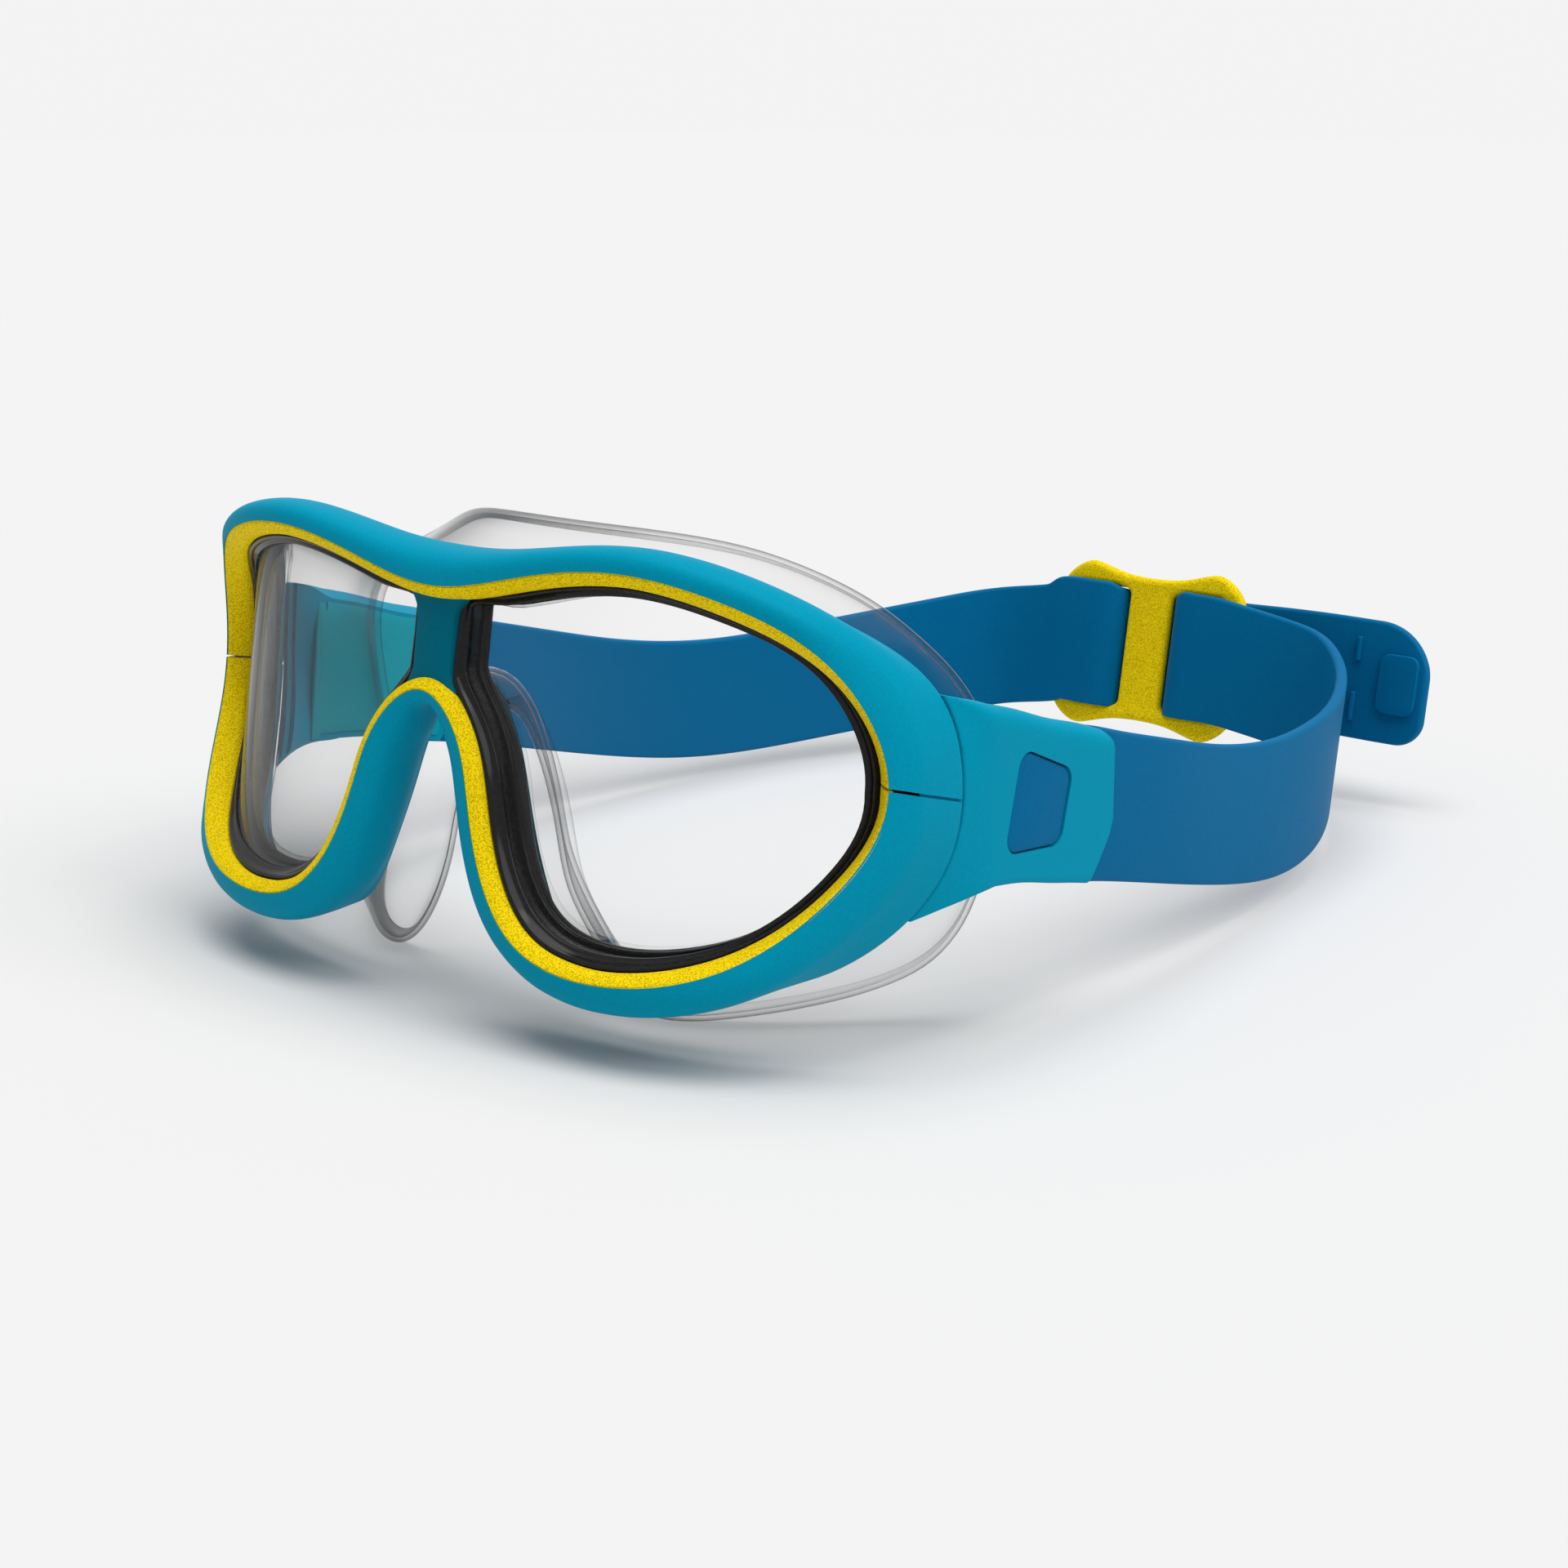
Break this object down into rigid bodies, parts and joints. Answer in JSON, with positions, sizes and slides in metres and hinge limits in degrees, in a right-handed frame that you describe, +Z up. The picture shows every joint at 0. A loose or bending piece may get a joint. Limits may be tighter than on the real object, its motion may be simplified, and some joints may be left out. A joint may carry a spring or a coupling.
{
  "type": "swim goggles",
  "caption": "Mask-type swim goggles with clear windows in a wrapped frame, a soft face skirt, temple arms with press-in strap locks and a back strap in a slide buckle.",
  "frame": {"origin": "under the middle of the whole object, on the surface that it stands on", "axes": "+Z up, +Y from the windows back to the strap (the way the wearer's face is met), +X to the wearer's left"},
  "size_m": [0.15, 0.215, 0.0737],
  "materials": {
    "frame_teal": "satin moulded plastic",
    "trim_yellow": "fine spark-eroded grain",
    "lens_clear": "polished clear",
    "seal_black": "satin",
    "skirt_clear": "clear silicone",
    "strap_blue": "satin silicone"
  },
  "bodies": {
    "mask": {"front_frame": "frame_teal", "bezel_upper": "trim_yellow", "bezel_lower": "trim_yellow", "lens_left": "lens_clear", "lens_right": "lens_clear", "gasket_left": "seal_black", "gasket_right": "seal_black", "skirt": "skirt_clear", "arm_left": "frame_teal", "arm_right": "frame_teal", "arm_plate_left": "frame_teal", "arm_plate_right": "frame_teal", "strap_left": "strap_blue", "strap_left_end": "strap_blue", "strap_right": "strap_blue", "strap_right_tail": "strap_blue"},
    "slide_buckle": {"buckle": "trim_yellow"},
    "lock_left": {"strap_lock_left": "strap_blue"},
    "lock_right": {"strap_lock_right": "strap_blue"}
  },
  "joints": [
    {"name": "buckle_slide", "type": "slide", "parent": "mask", "child": "slide_buckle", "axis": [1, 0, 0], "range_m": [-0.008, 0.008], "deforming": ["strap_left_end", "strap_right_tail"]},
    {"name": "lock_left_press", "type": "slide", "parent": "mask", "child": "lock_left", "axis": [-1, 0, 0], "range_m": [0, 0.0018], "stiffness_N_per_m": 800},
    {"name": "lock_right_press", "type": "slide", "parent": "mask", "child": "lock_right", "axis": [1, 0, 0], "range_m": [0, 0.0018], "stiffness_N_per_m": 800}
  ]
}
